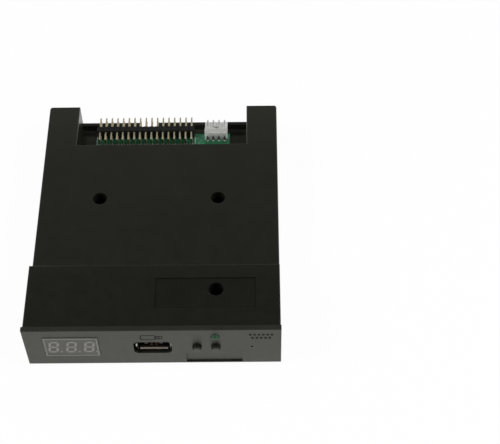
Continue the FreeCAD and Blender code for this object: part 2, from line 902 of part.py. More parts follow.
def floppy_header_block():
    """The moulded block of the 34-pin header, with a notch between each two columns."""
    half = header_columns * pin_pitch / 2
    body = block(header_x - half, header_x + half, header_front_y, header_rear_y,
                 board_top, board_top + 2 * pin_pitch)
    notches = [header_notch(x + pin_pitch / 2) for x in header_xs()[:-1]]
    bores = [bar(x, z, pin_width, pin_width, header_front_y - over, header_rear_y + over)
             for z, drop_y in header_rows() for x in header_xs()]
    return cut(body, notches, bores)


# Power header

def power_xs():
    """X of each pin of the power header."""
    return [power_x + (i - (power_pin_count - 1) / 2) * power_pitch for i in range(power_pin_count)]


def power_header_pins():
    """The four right-angle power pins."""
    return Part.makeCompound([bent_pin(x, power_pin_z, power_drop_y - pin_width / 2,
                                       power_wall_back_y + power_pin_reach, tail_z) for x in power_xs()])


def power_recess(x):
    """The recess in the front of the power header that one pin comes down in, with cut top corners."""
    half = power_recess_width / 2
    low = board_top - over
    top = board_top + power_recess_height
    outline = [(x - half, low), (x + half, low), (x + half, top - half / 2), (x + half / 2, top),
               (x - half / 2, top), (x - half, top - half / 2)]
    return profile_y(outline, power_wall_y - over, power_recess_y)


def power_header():
    """The white housing: an upright wall, side ribs, and a shelf with a window for the plug's catch."""
    x0 = power_x - power_width / 2
    x1 = power_x + power_width / 2
    shelf_y = power_wall_back_y + power_shelf_length
    root_y = power_wall_back_y - power_wall_thickness / 2
    shelf_top = board_top + power_shelf_height
    rib_top = board_top + power_rib_height
    upright = block(x0, x1, power_wall_y, power_wall_back_y, board_top, board_top + power_wall_height)
    shelf = block(x0, x1, root_y, shelf_y, board_top, shelf_top)
    ribs = [block(x, x + power_rib, root_y, shelf_y - power_rib_setback, board_top, rib_top)
            for x in (x0, x1 - power_rib)]
    window_y = power_wall_back_y + power_window_start
    window = block(power_x - power_window_width / 2, power_x + power_window_width / 2,
                   window_y, window_y + power_window_length, board_top - over, shelf_top + over)
    recesses = [power_recess(x) for x in power_xs()]
    bores = [bar(x, power_pin_z, pin_width, pin_width, power_wall_y - over, power_wall_back_y + over)
             for x in power_xs()]
    return cut(fuse([upright, shelf] + ribs), window, recesses, bores)


# Option jumpers

def option_xs():
    """X of each column of option pins."""
    return [option_x + (i - (option_columns - 1) / 2) * pin_pitch for i in range(option_columns)]


def option_pins():
    """The straight option pins."""
    return Part.makeCompound([centred(x, option_y + side * pin_pitch / 2, pin_width, pin_width,
                                      board_bottom - leg_depth, board_top + option_pin_rise)
                              for x in option_xs() for side in (-1, 1)])


def option_block():
    """The moulded block at the foot of the option pins."""
    body = centred(option_x, option_y, option_columns * pin_pitch, 2 * pin_pitch,
                   board_top, board_top + pin_pitch)
    return cut(body, option_pins().Solids)


def jumper():
    """The shunt on one pair of option pins."""
    x = option_xs()[jumper_column - 1]
    low = board_top + pin_pitch
    size = pin_pitch - 2 * jumper_gap
    high = min(low + jumper_height, rear_height - roof - fit_gap)
    body = centred(x, option_y, size, size + pin_pitch, low, high)
    bores = [centred(x, option_y + side * pin_pitch / 2, pin_width + jumper_gap, pin_width + jumper_gap,
                     low - over, board_top + option_pin_rise + jumper_gap) for side in (-1, 1)]
    return cut(body, bores)


# Main board and the parts on it

def board_slots():
    """Slots in the board for the legs of the socket and the switches."""
    z0 = board_bottom - over
    z1 = board_top + over
    slots = []
    for side in (-1, 1):
        slots.append(centred(usb_x + side * (usb_width - usb_sheet) / 2, usb_leg_y, usb_sheet + 2 * leg_gap,
                             usb_leg_length + 2 * leg_gap, z0, z1))
        for x in switch_places:
            slots.append(centred(x + side * (switch_size + switch_plate) / 2,
                                 switch_front_y + switch_leg_length / 2,
                                 switch_plate + 2 * leg_gap, switch_leg_length + 2 * leg_gap, z0, z1))
    return slots


def pin_holes():
    """Square holes in the board for every soldered pin."""
    places = [(x, drop_y, pin_width) for z, drop_y in header_rows() for x in header_xs()]
    places += [(x, power_drop_y, pin_width) for x in power_xs()]
    places += [(x, option_y + side * pin_pitch / 2, pin_width) for x in option_xs() for side in (-1, 1)]
    places += [(x, link_drop_y, pin_width) for x in link_xs()]
    places += [(x, led_drop_y, led_lead) for x in led_xs()]
    return [centred(x, y, size, size, board_bottom - over, board_top + over) for x, y, size in places]


def main_board():
    """The main circuit board, with an ear at the front left for the display."""
    body = block(board_left, board_right, board_front_y, board_rear_y, board_bottom, board_top)
    ear = block(board_left - board_ear_width, board_left + over, ear_front_y, ear_front_y + board_ear_length,
                board_bottom, board_top)
    notch_right = display_x + display_width / 2 + 2 * display_board_margin
    notch = block(board_left - over, notch_right, board_front_y - over, ear_front_y,
                  board_bottom - over, board_top + over)
    screw_holes = [post(board_hole_radius, x, y, board_bottom - over, board_top + over)
                   for x, y in screw_places]
    return cut(fuse([body, ear]), notch, screw_holes, pin_holes(), board_slots())


def processor():
    """The square processor."""
    z0 = board_top + processor_lift
    return centred(processor_x, processor_y, processor_size, processor_size, z0, z0 + processor_height)


def processor_legs():
    """The bent legs on the processor's four sides."""
    edge = processor_size / 2
    end = edge + processor_leg_reach
    knee = edge + processor_leg_reach / 2
    high = board_top + processor_lift + processor_height / 2
    outline = [(edge, high - processor_leg_thickness), (edge, high), (end, board_top), (knee, board_top)]
    legs = []
    for turn in range(4):
        for i in range(processor_leg_count):
            x = (i - (processor_leg_count - 1) / 2) * processor_leg_pitch
            leg = profile_x(outline, x, processor_leg_width)
            leg.rotate(Vector(0, 0, 0), Vector(0, 0, 1), 90 * turn)
            legs.append(leg.translated(Vector(processor_x, processor_y, 0)))
    return Part.makeCompound(legs)


def crystal():
    """The crystal's flat can."""
    return centred(crystal_x, crystal_y, crystal_width, crystal_length, board_top, board_top + crystal_height)


def regulator():
    """The voltage regulator's moulded body."""
    z0 = board_top + regulator_lift
    return centred(regulator_x, regulator_y, regulator_width, regulator_length, z0, z0 + regulator_height)


def regulator_legs():
    """The regulator's three legs and its wide tab."""
    z1 = board_top + regulator_leg_thickness
    offset = (regulator_length + regulator_leg_reach) / 2
    legs = [centred(regulator_x + i * regulator_leg_pitch, regulator_y - offset, regulator_leg_width,
                    regulator_leg_reach, board_top, z1) for i in (-1, 0, 1)]
    tab = centred(regulator_x, regulator_y + offset, regulator_tab_width, regulator_leg_reach, board_top, z1)
    return Part.makeCompound(legs + [tab])


def capacitor_cans():
    """The rolled cans of the capacitors."""
    return Part.makeCompound([post(capacitor_radius, x, y, board_top + capacitor_foot_height,
                                   board_top + capacitor_height) for x, y in capacitor_places])


def capacitor_feet():
    """The square feet under the capacitor cans."""
    return Part.makeCompound([centred(x, y, capacitor_foot, capacitor_foot, board_top,
                                      board_top + capacitor_foot_height) for x, y in capacitor_places])


def small_chips():
    """Rows of small resistors and capacitors."""
    chips = []
    for x0, y, count in zip(chip_row_starts, chip_row_ys, chip_row_counts):
        for i in range(count):
            chips.append(centred(x0 + i * chip_pitch, y, chip_width, chip_length,
                                 board_top, board_top + chip_height))
    return Part.makeCompound(chips)


def case_screws():
    """The round-headed screws at the bottom of the wells."""
    seat = board_top + well_floor
    return Part.makeCompound([fuse([post(screw_radius, x, y, seat - screw_length, seat),
                                    post(screw_head_radius, x, y, seat, seat + screw_head_height)])
                              for x, y in screw_places])


left_x, right_x = switch_places
nodes = {
    "lower_shell": lower_shell(),
    "upper_shell": upper_shell(),
    "front_bezel": front_bezel(),
    "display_body": display_body(),
    "display_segments": display_segments(),
    "display_pins": display_pins(),
    "display_board": display_board(),
    "display_driver": display_driver(),
    "display_driver_legs": display_driver_legs(),
    "display_link_block": display_link_block(),
    "display_link_pins": display_link_pins(),
    "usb_shell": usb_shell(),
    "usb_tongue": usb_tongue(),
    "usb_contacts": usb_contacts(),
    "left_switch_base": switch_base(left_x),
    "right_switch_base": switch_base(right_x),
    "left_switch_cover": switch_cover(left_x),
    "right_switch_cover": switch_cover(right_x),
    "left_switch_disc": switch_disc(left_x),
    "right_switch_disc": switch_disc(right_x),
    "left_button": button(left_x),
    "right_button": button(right_x),
    "led_lens": led_lens(),
    "led_leads": led_leads(),
    "main_board": main_board(),
    "floppy_header_block": floppy_header_block(),
    "floppy_header_pins": floppy_header_pins(),
    "power_header": power_header(),
    "power_header_pins": power_header_pins(),
    "option_block": option_block(),
    "option_pins": option_pins(),
    "jumper": jumper(),
    "processor": processor(),
    "processor_legs": processor_legs(),
    "crystal": crystal(),
    "regulator": regulator(),
    "regulator_legs": regulator_legs(),
    "capacitor_cans": capacitor_cans(),
    "capacitor_feet": capacitor_feet(),
    "small_chips": small_chips(),
    "case_screws": case_screws(),
}

os.makedirs("parts", exist_ok=True)
for name, shape in nodes.items():
    shape.translated(Vector(0, -middle_y, 0)).exportStep(f"parts/{name}.step")
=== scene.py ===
import json
import math

import bmesh
import bpy
from mathutils import Matrix, Vector


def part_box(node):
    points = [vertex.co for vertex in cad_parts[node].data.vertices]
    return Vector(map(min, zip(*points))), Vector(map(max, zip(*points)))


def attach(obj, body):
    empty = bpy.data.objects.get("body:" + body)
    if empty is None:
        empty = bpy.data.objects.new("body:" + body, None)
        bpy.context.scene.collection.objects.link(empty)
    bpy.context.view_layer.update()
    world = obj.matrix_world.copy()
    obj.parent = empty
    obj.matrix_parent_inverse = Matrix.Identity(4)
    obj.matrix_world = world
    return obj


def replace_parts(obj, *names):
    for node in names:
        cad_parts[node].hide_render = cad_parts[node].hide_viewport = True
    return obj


# Looks of the floppy drive emulator, with X to the right, Y to the back and Z up
# Sizes and places are in millimetres, with Y from the bezel's front face, and meshes are in metres

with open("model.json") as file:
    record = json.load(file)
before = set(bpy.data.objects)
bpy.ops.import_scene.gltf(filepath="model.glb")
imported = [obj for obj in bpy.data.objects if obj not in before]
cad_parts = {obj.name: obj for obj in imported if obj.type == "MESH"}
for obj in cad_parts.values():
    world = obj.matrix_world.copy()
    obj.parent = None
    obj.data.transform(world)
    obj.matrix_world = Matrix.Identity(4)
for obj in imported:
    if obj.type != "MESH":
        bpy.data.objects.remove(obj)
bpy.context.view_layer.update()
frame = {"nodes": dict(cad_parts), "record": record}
nodes = frame["nodes"]
mm = 0.001
middle_y = -round(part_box("front_bezel")[0].y / mm, 3)
board_top = round(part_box("main_board")[1].z / mm, 3)
scene = bpy.context.scene


def corners(node):
    """The lower and the upper corner of a CAD piece."""
    shift = Vector((0, middle_y, 0))
    low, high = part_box(node)
    return low / mm + shift, high / mm + shift


# The photograph's camera, in metres and radians, fitted to the corners and edges of the case

image_width = 500
focal_pixels = 1304.286
sensor_width = 36.0
camera_place = Vector((0.042479, -0.321024, 0.460237))
camera_down = 0.947721
camera_turn = -0.012144
camera_roll = -0.018542
nearest_seen = 0.01


def make_camera():
    """The camera at the photograph's place and angle."""
    forward = Vector((math.sin(camera_turn) * math.cos(camera_down),
                      math.cos(camera_turn) * math.cos(camera_down), -math.sin(camera_down)))
    side = Vector((math.cos(camera_turn), -math.sin(camera_turn), 0))
    above = side.cross(forward)
    right = math.cos(camera_roll) * side + math.sin(camera_roll) * above
    up = math.cos(camera_roll) * above - math.sin(camera_roll) * side
    data = bpy.data.cameras.new("photo_camera")
    data.sensor_fit = "HORIZONTAL"
    data.sensor_width = sensor_width
    data.lens = focal_pixels * sensor_width / image_width
    data.clip_start = nearest_seen
    camera = bpy.data.objects.new("photo_camera", data)
    turn = Matrix((right, up, -forward)).transposed().to_4x4()
    camera.matrix_world = Matrix.Translation(camera_place) @ turn
    scene.collection.objects.link(camera)
    scene.camera = camera


make_camera()


# Node helpers

def new_material(name):
    """A material, its tree, its shader and a coordinate in metres."""
    material = bpy.data.materials.new(name)
    material.use_nodes = True
    tree = material.node_tree
    shader = tree.nodes["Principled BSDF"]
    place = tree.nodes.new("ShaderNodeTexCoord").outputs["Object"]
    return material, tree, shader, place


def noise(tree, place, scale, detail=3.0):
    """A cloudy value between 0 and 1."""
    node = tree.nodes.new("ShaderNodeTexNoise")
    node.inputs["Scale"].default_value = scale
    node.inputs["Detail"].default_value = detail
    tree.links.new(place, node.inputs["Vector"])
    return node.outputs["Fac"]


def ramp(tree, value, stops):
    """A colour picked along a value by (position, colour) stops."""
    node = tree.nodes.new("ShaderNodeValToRGB")
    elements = node.color_ramp.elements
    while len(elements) < len(stops):
        elements.new(0.5)
    for element, (position, colour) in zip(elements, stops):
        element.position = position
        element.color = (*colour, 1)
    tree.links.new(value, node.inputs["Fac"])
    return node.outputs["Color"]


def ranged(tree, value, low, high, start=0.3, end=0.7):
    """A value moved from one range into another."""
    node = tree.nodes.new("ShaderNodeMapRange")
    for socket, number in zip(("From Min", "From Max", "To Min", "To Max"), (start, end, low, high)):
        node.inputs[socket].default_value = number
    tree.links.new(value, node.inputs["Value"])
    return node.outputs["Result"]


def combined(tree, operation, values):
    """One number from several, each joined to the ones before it by a sum, product or the like."""
    total = values[0]
    for value in values[1:]:
        node = tree.nodes.new("ShaderNodeMath")
        node.operation = operation
        tree.links.new(total, node.inputs[0])
        tree.links.new(value, node.inputs[1])
        total = node.outputs[0]
    return total


def mixed(tree, share, first, second):
    """A colour between two, by a share of the second."""
    node = tree.nodes.new("ShaderNodeMix")
    node.data_type = "RGBA"
    colours = [socket for socket in node.inputs if socket.type == "RGBA"]
    tree.links.new(share, node.inputs[0])
    tree.links.new(first, colours[0])
    tree.links.new(second, colours[1])
    return [socket for socket in node.outputs if socket.type == "RGBA"][0]


def along_axis(tree, place, axis, start, end):
    """A share that grows from 0 to 1 between two places on an axis."""
    node = tree.nodes.new("ShaderNodeSeparateXYZ")
    tree.links.new(place, node.inputs["Vector"])
    origin = middle_y if axis == "Y" else 0
    return ranged(tree, node.outputs[axis], 0, 1, (start - origin) * mm, (end - origin) * mm)


def bump(tree, shader, height, depth):
    """Relief on the shader, depth in metres."""
    node = tree.nodes.new("ShaderNodeBump")
    node.inputs["Distance"].default_value = depth
    tree.links.new(height, node.inputs["Height"])
    tree.links.new(node.outputs["Normal"], shader.inputs["Normal"])


# Finishes, by name

finishes = {}
gloss_ratio = 3.1
fine_detail = 2.0


def surface(name, dark, light, roughness, patch=90.0, grain=2600.0, depth=8e-6, metallic=0.0, **sockets):
    """A finish whose tone and gloss drift a little and that has a fine grain."""
    material, tree, shader, place = new_material(name)
    cloud = noise(tree, place, patch)
    tree.links.new(ramp(tree, cloud, ((0.35, dark), (0.65, light))), shader.inputs["Base Color"])
    drift = noise(tree, place, patch * gloss_ratio, fine_detail)
    tree.links.new(ranged(tree, drift, *roughness), shader.inputs["Roughness"])
    bump(tree, shader, noise(tree, place, grain, fine_detail), depth)
    shader.inputs["Metallic"].default_value = metallic
    for socket, number in sockets.items():
        shader.inputs[socket.replace("_", " ")].default_value = number
    finishes[name] = material


def case_finish(name, dark, light, roughness, shine, sheen):
    """The fine-grained satin of the case's mouldings."""
    surface(name, dark, light, roughness, grain=3200.0, depth=6e-6,
            Specular_IOR_Level=shine, Specular_Tint=sheen)


olive_sheen = (1.0, 1.0, 0.86, 1.0)
bezel_sheen = (0.99, 1.0, 0.82, 1.0)
display_sheen = (1.0, 1.0, 0.88, 1.0)
nylon_glow = (1.0, 1.0, 0.97)

# Mouldings of the case, and the plungers
for shell_finish in ("black_case", "tray_black"):
    case_finish(shell_finish, (0.0072, 0.0076, 0.0056), (0.009, 0.0094, 0.007), (0.29, 0.34),
                0.56, olive_sheen)
case_finish("bezel_black", (0.0072, 0.0078, 0.0056), (0.009, 0.0096, 0.007), (0.42, 0.47),
            0.67, bezel_sheen)
surface("button_black", (0.0065, 0.0068, 0.0055), (0.0085, 0.0088, 0.007), (0.36, 0.4),
        Specular_IOR_Level=0.56, Specular_Tint=olive_sheen)
# Painted shade: a darker, duller copy of the plungers' finish for their sides
surface("button_side", (0.004, 0.0042, 0.0034), (0.006, 0.0062, 0.005), (0.45, 0.5),
        Specular_IOR_Level=0.25, Specular_Tint=olive_sheen)
surface("pad_black", (0.0044, 0.0047, 0.0034), (0.0053, 0.0056, 0.0043), (0.42, 0.48),
        Specular_IOR_Level=0.28, Specular_Tint=olive_sheen)
surface("print_dark", (0.011, 0.011, 0.009), (0.015, 0.015, 0.013), (0.6, 0.7), Specular_IOR_Level=0.12)

# Display and status light
surface("display_face", (0.052, 0.053, 0.044), (0.058, 0.059, 0.05), (0.34, 0.40),
        Specular_Tint=display_sheen)
surface("display_edge", (0.15, 0.151, 0.13), (0.185, 0.186, 0.162), (0.36, 0.42))
surface("segment_clear", (0.235, 0.228, 0.2), (0.28, 0.27, 0.237), (0.4, 0.48), Specular_IOR_Level=0.4)
surface("led_green", (0.016, 0.058, 0.026), (0.022, 0.072, 0.033), (0.42, 0.5), Specular_IOR_Level=0.3)

# Socket; the shell's steel is painted shade, a much darker tone than the same steel of its guides
surface("steel_plate", (0.09, 0.09, 0.088), (0.13, 0.13, 0.127), (0.3, 0.4), metallic=1.0)
surface("guide_steel", (0.5, 0.5, 0.48), (0.58, 0.58, 0.56), (0.45, 0.55), metallic=0.85)
surface("tongue_cream", (0.2, 0.175, 0.135), (0.25, 0.22, 0.175), (0.45, 0.55), Specular_IOR_Level=0.3)
surface("contact_gold", (0.4, 0.26, 0.15), (0.5, 0.33, 0.2), (0.4, 0.5), metallic=0.4)

# Pins and header bodies
surface("pin_gold", (0.74, 0.66, 0.46), (0.84, 0.76, 0.56), (0.48, 0.56), metallic=1.0)
surface("pin_tin", (0.8, 0.8, 0.78), (0.88, 0.88, 0.86), (0.50, 0.58), metallic=1.0)
surface("header_black", (0.004, 0.004, 0.004), (0.007, 0.007, 0.007), (0.5, 0.58), Specular_IOR_Level=0.35)
surface("nylon_white", (0.68, 0.68, 0.66), (0.74, 0.74, 0.72), (0.42, 0.5),
        Subsurface_Weight=1.0, Subsurface_Scale=0.004, Subsurface_Radius=nylon_glow)
surface("jumper_black", (0.012, 0.012, 0.012), (0.018, 0.018, 0.018), (0.35, 0.45))

# Circuit board
surface("board_green", (0.009, 0.072, 0.032), (0.014, 0.102, 0.045), (0.28, 0.38), patch=500.0)
surface("trace_green", (0.03, 0.19, 0.085), (0.04, 0.22, 0.1), (0.28, 0.36))
surface("solder", (0.32, 0.32, 0.3), (0.42, 0.42, 0.39), (0.5, 0.6), metallic=1.0)
surface("silkscreen", (0.42, 0.43, 0.4), (0.55, 0.56, 0.52), (0.6, 0.7))
surface("chip_black", (0.01, 0.01, 0.01), (0.018, 0.018, 0.018), (0.5, 0.6))
surface("chip_ceramic", (0.16, 0.11, 0.06), (0.22, 0.15, 0.08), (0.4, 0.5))
surface("can_aluminium", (0.6, 0.6, 0.59), (0.7, 0.7, 0.69), (0.2, 0.3), metallic=1.0)

# Small steel parts
surface("dome_steel", (0.5, 0.5, 0.49), (0.6, 0.6, 0.59), (0.2, 0.3), metallic=1.0)
surface("screw_black", (0.02, 0.02, 0.02), (0.035, 0.034, 0.033), (0.3, 0.42), metallic=0.8)


# Painted light and shade on single places, each where spans along X, Y or Z are passed

tint_patch = 700.0
tint_spread = 1.15


def paint_light_and_shade(name, colour, *spans):
    """Gives a finish another colour, painted light and shade, where all the spans of (axis, start, end)
    are passed.
    """
    tree = finishes[name].node_tree
    shader = tree.nodes["Principled BSDF"]
    place = tree.nodes["Texture Coordinate"].outputs["Object"]
    held = shader.inputs["Base Color"].links[0].from_socket
    light = [channel * tint_spread for channel in colour]
    other = ramp(tree, noise(tree, place, tint_patch), ((0.3, colour), (0.7, light)))
    share = combined(tree, "MULTIPLY", [along_axis(tree, place, *span) for span in spans])
    tree.links.new(mixed(tree, share, held, other), shader.inputs["Base Color"])


# The socket's inside: painted shade on the tongue's top, on the shell below its lips and on the outer
# contacts, and a painted reflection on the lips
lip_reflection_spans = (("Y", 0.85, 0.75), ("Z", 12.5, 13.0))
# Painted shade: the tongue is dark above its front face
paint_light_and_shade("tongue_cream", (0.012, 0.008, 0.005), ("Z", 11.2, 11.3))
# Painted shade: the shell darkens below its lips
paint_light_and_shade("steel_plate", (0.02, 0.02, 0.02), ("Z", 12.9, 12.5))
# Painted reflection: the lips are light, the right lip less so
paint_light_and_shade("steel_plate", (0.42, 0.415, 0.4), *lip_reflection_spans)
paint_light_and_shade("steel_plate", (0.2, 0.2, 0.19), *lip_reflection_spans, ("X", 0, 0.1))
# Painted shade on the two outer contacts
paint_light_and_shade("contact_gold", (0.02, 0.012, 0.008), ("X", -1.9, -2.1))
paint_light_and_shade("contact_gold", (0.02, 0.012, 0.008), ("X", 2.5, 2.7))

# Painted shade on the cover's front step and painted light on its rear arms, and painted light on the tray
# inside the rear bay
paint_light_and_shade("black_case", (0.0054, 0.0058, 0.0043), ("Y", 35.0, 26.0))
paint_light_and_shade("black_case", (0.0125, 0.013, 0.0102), ("Y", 98.0, 120.0))
# Painted light: the tray is lighter inside the rear bay, above its floor
paint_light_and_shade("tray_black", (0.035, 0.036, 0.029), ("X", -37.4, -37.2), ("X", 37.4, 37.2), ("Y", 100.0, 100.2),
       ("Y", 120.4, 120.2), ("Z", 1.0, 1.2))

# Painted shade on the front faces of the pins' legs
paint_light_and_shade("pin_gold", (0.14, 0.12, 0.08), ("Y", 106.35, 106.15))
paint_light_and_shade("pin_tin", (0.24, 0.22, 0.17), ("Y", 109.35, 109.15))

# Painted shade on the power header's upper part, and its front face brought back near its plain tone
paint_light_and_shade("nylon_white", (0.40, 0.40, 0.385), ("Z", 12.72, 12.79))
paint_light_and_shade("nylon_white", (0.7, 0.7, 0.68), ("Y", 108.8, 108.65))

# Painted light on the board's strip between the headers, and more painted light on its corner behind the
# power header's feet
paint_light_and_shade("board_green", (0.022, 0.145, 0.068), ("X", 13.6, 14.8), ("X", 18.8, 18.2))
paint_light_and_shade("board_green", (0.045, 0.29, 0.135), ("X", 13.6, 14.8), ("Y", 108.6, 110.2))


own_finish = {"front_bezel": "bezel_black", "lower_shell": "tray_black"}


def dress_cad_pieces():
    """Gives each CAD piece the finish of its slot, or its own."""
    for part in frame["record"]["subparts"]:
        node = nodes[part["node"]]
        material = finishes[own_finish.get(part["node"], part["material_slot"])]
        if node.material_slots:
            for held in node.material_slots:
                held.material = material
        else:
            node.data.materials.append(material)


dress_cad_pieces()


# Mesh helpers

turned_sides = 64
corner_steps = 4
over = 1.0


def shown(name, bm, body, finish, smooth=40):
    """A piece made from a bmesh, with its finish and the body that it rides on."""
    bmesh.ops.remove_doubles(bm, verts=bm.verts, dist=1e-7)
    bmesh.ops.recalc_face_normals(bm, faces=bm.faces)
    mesh = bpy.data.meshes.new(name)
    bm.to_mesh(mesh)
    bm.free()
    mesh.materials.append(finishes[finish])
    for polygon in mesh.polygons:
        polygon.use_smooth = True
    piece = bpy.data.objects.new(name, mesh)
    scene.collection.objects.link(piece)
    mesh.set_sharp_from_angle(angle=math.radians(smooth))
    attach(piece, body)
    return piece


def at(x, y, z):
    """A place in the frame's metres."""
    return Vector((x * mm, (y - middle_y) * mm, z * mm))


def lathe(bm, profile, place, axis, segments=turned_sides):
    """Turns (radius, along) points round an axis through a place."""
    along = Vector(axis)
    side = along.orthogonal().normalized()
    other = along.cross(side)
    turns = [2 * math.pi * i / segments for i in range(segments)]
    spokes = [side * math.cos(t) + other * math.sin(t) for t in turns]
    rings = []
    for radius, step in profile:
        centre = place + along * step * mm
        if radius == 0:
            rings.append([bm.verts.new(centre)])
            continue
        rings.append([bm.verts.new(centre + spoke * radius * mm) for spoke in spokes])
    for low, high in zip(rings, rings[1:]):
        for i in range(segments):
            j = (i + 1) % segments
            around = [low[i % len(low)], low[j % len(low)], high[j % len(high)], high[i % len(high)]]
            unique = list(dict.fromkeys(around))
            if len(unique) > 2:
                bm.faces.new(unique)


def level(way, first, second, height):
    """A place on a plane at right angles to X, Y or Z."""
    places = {"X": (height, first, second), "Y": (first, height, second), "Z": (first, second, height)}
    return at(*places[way])


def flat_shape(bm, outline, start, end, way="Y"):
    """A plate between two planes at right angles to one axis, from its outline."""
    rings = [[bm.verts.new(level(way, u, v, height)) for u, v in outline] for height in (start, end)]
    bm.faces.new(rings[0])
    bm.faces.new(rings[1][::-1])
    for i in range(len(outline)):
        j = (i + 1) % len(outline)
        bm.faces.new((rings[0][i], rings[0][j], rings[1][j], rings[1][i]))


def frame_shape(bm, outer, inner, start, end, way="Y", slope=0.0):
    """A flat ring between an outer and an inner outline, with sloped sides."""
    middle = [sum(values) / len(outer) for values in zip(*outer)]
    steps = ((outer, start, 0), (outer, end, slope), (inner, end, -slope), (inner, start, 0))
    rings = []
    for outline, height, inset in steps:
        moved = [[c - math.copysign(inset, c - m) for c, m in zip(point, middle)] for point in outline]
        rings.append([bm.verts.new(level(way, u, v, height)) for u, v in moved])
    for i in range(len(rings)):
        low, high = rings[i], rings[(i + 1) % len(rings)]
        for j in range(len(outer)):
            k = (j + 1) % len(outer)
            bm.faces.new((low[j], low[k], high[k], high[j]))


def rounded_outline(u0, u1, v0, v1, radius):
    """The outline of a rectangle with round corners."""
    points = []
    for cu, cv, first in ((u1 - radius, v1 - radius, 0), (u0 + radius, v1 - radius, 1),
                          (u0 + radius, v0 + radius, 2), (u1 - radius, v0 + radius, 3)):
        for i in range(corner_steps + 1):
            t = math.pi / 2 * (first + i / corner_steps)
            points.append((cu + radius * math.cos(t), cv + radius * math.sin(t)))
    return points


def inset_outline(sides, inset, radius):
    """A rounded outline set in from four sides, given as low and high across and low and high up."""
    u0, u1, v0, v1 = sides
    return rounded_outline(u0 + inset, u1 - inset, v0 + inset, v1 - inset, radius)


def carve(piece, bm):
    """Cuts a shape out of a piece for good."""
    bmesh.ops.recalc_face_normals(bm, faces=bm.faces)
    cutter_mesh = bpy.data.meshes.new("cutter")
    bm.to_mesh(cutter_mesh)
    bm.free()
    cutter = bpy.data.objects.new("cutter", cutter_mesh)
    scene.collection.objects.link(cutter)
    cut = piece.modifiers.new("cut", "BOOLEAN")
    cut.object = cutter
    cut.operation = "DIFFERENCE"
    cut.solver = "EXACT"
    bpy.context.view_layer.update()
    done = bpy.data.meshes.new_from_object(piece.evaluated_get(bpy.context.evaluated_depsgraph_get()))
    piece.modifiers.clear()
    piece.data = done
    bpy.data.objects.remove(cutter)


def soften(piece, width, segments=2, angle=35):
    """Rounds the edges of a piece that are sharper than an angle."""
    weld = piece.modifiers.new("join", "WELD")
    weld.merge_threshold = 1e-6
    bevel = piece.modifiers.new("edges", "BEVEL")
    bevel.width = width * mm
    bevel.segments = segments
    bevel.limit_method = "ANGLE"
    bevel.angle_limit = math.radians(angle)
    bevel.use_clamp_overlap = True
    bevel.harden_normals = True


# Buttons

button_places = {"left": 17.45, "right": 24.9}
plunger_radius = 1.8
plunger_drop = 0.1
rim_radius = 0.6
rim_steps = 10
flange_thickness = 0.6
flange_bevel = 0.12
end_facing = -0.9


def push_button(side, x):
    """A smooth round plunger with a flat end, a soft rim and a flange behind the bezel."""
    node = side + "_button"
    low, high = corners(node)
    z = (low.z + high.z) / 2 - plunger_drop
    length = high.y - low.y
    flange_start = length - flange_thickness
    flange_radius = high.x - x
    flat_radius = plunger_radius - rim_radius
    turns = [math.pi / 2 * i / rim_steps for i in range(rim_steps + 1)]
    profile = [(0, 0)]
    profile += [(flat_radius + rim_radius * math.sin(t), rim_radius * (1 - math.cos(t))) for t in turns]
    profile += [(plunger_radius, flange_start), (flange_radius - flange_bevel, flange_start),
                (flange_radius, flange_start + flange_bevel), (flange_radius, length), (0, length)]
    bm = bmesh.new()
    lathe(bm, profile, at(x, low.y, z), (0, 1, 0))
    piece = shown(side + "_plunger", bm, side + "_button_body", "button_black")
    # Painted shade: the sides take the darker copy, the end faces keep the plunger's finish
    piece.data.materials.append(finishes["button_side"])
    for polygon in piece.data.polygons:
        polygon.material_index = 0 if polygon.normal.y < end_facing else 1
    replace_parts(piece, node)


for side, x in button_places.items():
    push_button(side, x)


# Status light

lens_radius = 1.6
lens_steps = 12
lens_foot = 1.0
lens_bevel = 0.05


def status_light():
    """The light's lens with its round nose and its foot."""
    low, high = corners("led_lens")
    middle = (low + high) / 2
    length = high.y - low.y
    foot_radius = (high.x - low.x) / 2
    turns = [math.pi / 2 * i / lens_steps for i in range(1, lens_steps + 1)]
    profile = [(0, 0)] + [(lens_radius * math.sin(t), lens_radius * (1 - math.cos(t))) for t in turns]
    profile += [(lens_radius, length - lens_foot), (foot_radius, length - lens_foot + lens_bevel),
                (foot_radius, length - lens_bevel), (foot_radius - lens_bevel, length), (0, length)]
    bm = bmesh.new()
    lathe(bm, profile, at(middle.x, low.y, middle.z), (0, 1, 0))
    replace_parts(shown("status_lens", bm, "chassis", "led_green"), "led_lens")


status_light()


# Pins of the two headers

pin_width = 0.64
pin_foot_z = 4.8
pin_bend = 0.5
pin_bend_steps = 6
pin_point = 0.55
pin_tip_share = 0.4

pin_pitch = 2.54
cable_x = -7.7
cable_columns = [cable_x + (column - 8) * pin_pitch for column in range(17)]
lower_row_z = board_top + 1.27
upper_row_z = board_top + 3.81
lower_legs_y = 108.91
upper_legs_y = 106.37
cable_tips_y = 118.6

power_x = 23.6
power_pitch = 2.5
power_columns = [power_x + (column - 1.5) * power_pitch for column in range(4)]
power_row_z = board_top + 3.2
power_legs_y = 108.9
power_tips_y = 117.5


def bent_path(x, leg_y, row_z, tip_y):
    """Points of a right-angle pin from its foot round a bend to its rear tip."""
    path = [at(x, leg_y, pin_foot_z), at(x, leg_y, pin_foot_z + pin_point)]
    for i in range(pin_bend_steps + 1):
        t = math.pi / 2 * i / pin_bend_steps
        path.append(at(x, leg_y + pin_bend * (1 - math.cos(t)), row_z - pin_bend + pin_bend * math.sin(t)))
    return path + [at(x, tip_y - pin_point, row_z), at(x, tip_y, row_z)]


